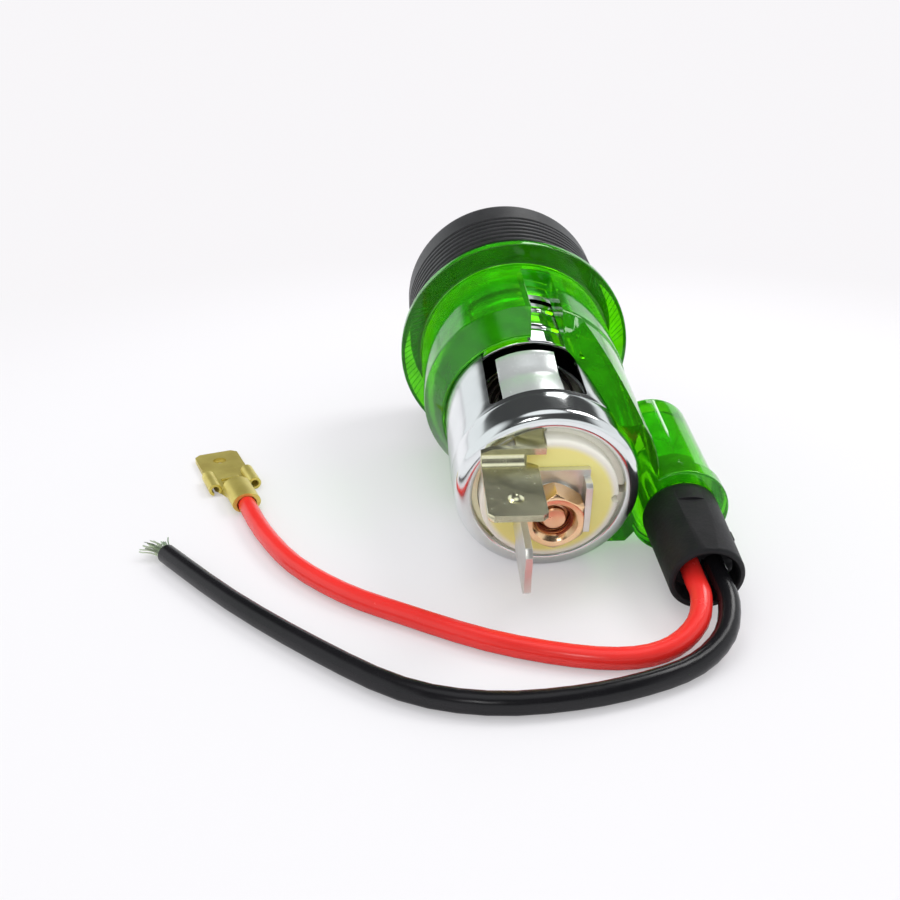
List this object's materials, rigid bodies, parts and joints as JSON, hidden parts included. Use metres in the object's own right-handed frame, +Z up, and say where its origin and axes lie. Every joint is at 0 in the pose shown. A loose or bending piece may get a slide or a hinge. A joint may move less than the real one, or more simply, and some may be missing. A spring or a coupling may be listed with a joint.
{
  "type": "car 12 V power socket with pop-out lighter and lit ring",
  "caption": "Car accessory socket seen from its terminals: steel shell, translucent green lit ring with a side lamp, two wires, and a ribbed black lighter knob.",
  "frame": {"origin": "on the floor under the middle of the part's box, its two wires and what is on them apart", "axes": "+Z up; the socket's axis lies in the Y-Z plane, 9.1 degrees above +Y, with the panel side and the knob toward +Y and the terminals toward -Y; the lamp is on the +X side"},
  "size_m": [0.0728, 0.0868, 0.0344],
  "materials": {
    "plated_steel": "bright plated sheet, slightly worn",
    "green_translucent": "translucent green moulded plastic",
    "cream_insulator": "matt pressed insulator",
    "spring_strip": "satin rolled strip",
    "copper_plated": "dull copper plating",
    "tinned_steel": "tinned, satin",
    "black_plastic": "satin black moulding",
    "bulb_glass": "clear glass",
    "brass": "stamped brass",
    "red_insulation": "smooth extruded insulation",
    "black_insulation": "smooth extruded insulation",
    "tinned_copper": "tinned fine strands",
    "bright_chrome": "bright",
    "spring_wire": "drawn steel",
    "knob_plastic": "satin black moulding",
    "knob_face": "fine-grained black",
    "ceramic": "matt ceramic",
    "heater_ribbon": "oxidised resistance ribbon"
  },
  "bodies": {
    "socket": {"socket_shell": "plated_steel", "light_ring": "green_translucent", "rear_insulator": "cream_insulator", "clip_washer": "plated_steel", "bimetal_clip": "spring_strip", "centre_stud": "copper_plated", "spring_washer": "plated_steel", "terminal_nut": "copper_plated", "feed_terminal": "tinned_steel", "ground_terminal": "tinned_steel", "lamp_holder": "black_plastic", "lamp_bulb": "bulb_glass", "lamp_contact_feed": "brass", "lamp_contact_ground": "brass", "red_wire": "red_insulation", "male_terminal": "brass", "black_wire": "black_insulation", "bare_strands": "tinned_copper"},
    "lighter": {"plug_can": "bright_chrome", "guide_bush": "black_plastic", "return_spring": "spring_wire"},
    "plunger": {"knob": "knob_plastic", "knob_insert": "knob_face", "plunger_shaft": "spring_wire", "retaining_ring": "spring_wire", "heater_insulator": "ceramic", "heater_cup": "bright_chrome", "heater_coil": "heater_ribbon"}
  },
  "joints": [
    {"name": "lighter_pull", "type": "slide", "parent": "socket", "child": "lighter", "axis": [0, 0.9874, 0.158], "range_m": [0, 0.05]},
    {"name": "knob_push", "type": "slide", "parent": "lighter", "child": "plunger", "axis": [0, -0.9874, -0.158], "range_m": [0, 0.004], "stiffness_N_per_m": 300, "springref_m": -0.003, "deforming": ["return_spring"]}
  ]
}
